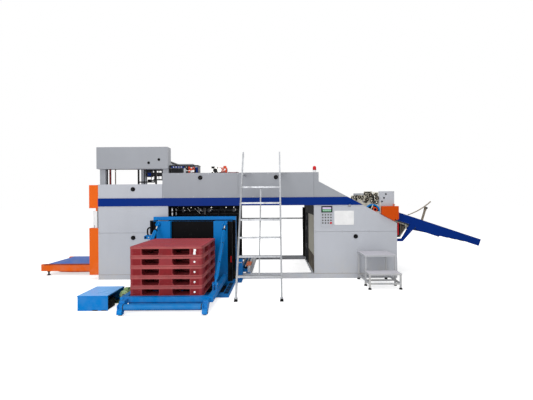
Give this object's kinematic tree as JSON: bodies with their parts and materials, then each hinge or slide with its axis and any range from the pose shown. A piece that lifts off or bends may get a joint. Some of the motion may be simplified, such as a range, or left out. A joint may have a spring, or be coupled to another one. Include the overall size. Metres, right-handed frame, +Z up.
{
  "type": "sheet stacker",
  "caption": "Sheet stacker: stacking tower, belt bridge, sloping infeed conveyor, exit table, pallet feeder with pallets, access ladder and step stool.",
  "frame": {"origin": "on the floor, at the middle of the underside of the base frame's centre cross beam", "axes": "+X along the machine from the exit table to the infeed conveyor, +Y from the operator side to the far side, +Z up"},
  "size_m": [9.5443, 4.651, 2.73],
  "materials": {
    "machine_grey": "light grey powder coat",
    "stripe_blue": "dark blue paint",
    "guard_orange": "orange paint",
    "feeder_blue": "bright blue paint",
    "dark_steel": "dark oiled steel",
    "bright_steel": "ground steel",
    "belt": "matt flat belt",
    "black_sheet": "black paint",
    "pallet": "dull red moulded plastic",
    "aluminium": "mill finish",
    "wheel_rubber": "black",
    "pump_green": "green paint",
    "beacon_white": "white",
    "beacon_red": "clear red"
  },
  "bodies": {
    "machine": {"base_frame": "machine_grey", "front_tower_frame": "machine_grey", "rear_tower_frame": "machine_grey", "front_tower_covers": "machine_grey", "rear_tower_covers": "machine_grey", "front_bridge_covers": "machine_grey", "rear_bridge_covers": "machine_grey", "front_cabinet_covers": "machine_grey", "rear_cabinet_covers": "machine_grey", "front_side_plate": "machine_grey", "rear_side_plate": "machine_grey", "cabinet_end_panel": "machine_grey", "cabinet_left_wall": "machine_grey", "control_console": "machine_grey", "front_stripe": "stripe_blue", "rear_stripe": "stripe_blue", "front_conveyor_frame": "stripe_blue", "rear_conveyor_frame": "stripe_blue", "front_head_guard": "guard_orange", "rear_head_guard": "guard_orange", "front_exit_guard": "guard_orange", "rear_exit_guard": "guard_orange", "exit_table": "guard_orange", "lift_table": "feeder_blue", "transfer_conveyor": "feeder_blue", "feeder_floor_frame": "feeder_blue", "feeder_portal": "feeder_blue", "feeder_masts": "feeder_blue", "cradle": "feeder_blue", "left_tie_rod": "feeder_blue", "right_tie_rod": "feeder_blue", "power_pack_cover": "feeder_blue", "head_gear": "dark_steel", "return_rollers": "dark_steel", "left_lift_gear": "dark_steel", "right_lift_gear": "dark_steel", "lift_drive": "dark_steel", "guide_post": "dark_steel", "valve_box": "dark_steel", "press_rollers": "bright_steel", "bridge_drive": "bright_steel", "bridge_belts": "belt", "slope_belts": "belt", "conveyor_belts": "belt", "bay_screen": "black_sheet", "touch_screen": "black_sheet", "pallet_1": "pallet", "pallet_2": "pallet", "pallet_3": "pallet", "pallet_4": "pallet", "pallet_5": "pallet", "ladder": "aluminium", "step_stool": "aluminium", "rear_stay": "aluminium", "pump_motor": "pump_green", "beacon_base": "beacon_white", "beacon_lens": "beacon_red"},
    "guide_arm": {"guide_arm": "bright_steel"},
    "left_wheel": {"wheel_left": "wheel_rubber"},
    "right_wheel": {"wheel_right": "wheel_rubber"}
  },
  "joints": [
    {"name": "guide_arm_swing", "type": "hinge", "parent": "machine", "child": "guide_arm", "pos_m": [3.79904, -0.885, 1.42745], "axis": [0, 1, 0], "range_deg": [0, 40]},
    {"name": "left_wheel_spin", "type": "hinge", "parent": "machine", "child": "left_wheel", "pos_m": [-1.628, -3.365, 0.0465], "axis": [1, 0, 0], "continuous": true},
    {"name": "right_wheel_spin", "type": "hinge", "parent": "machine", "child": "right_wheel", "pos_m": [-0.432, -3.365, 0.0465], "axis": [1, 0, 0], "continuous": true}
  ]
}
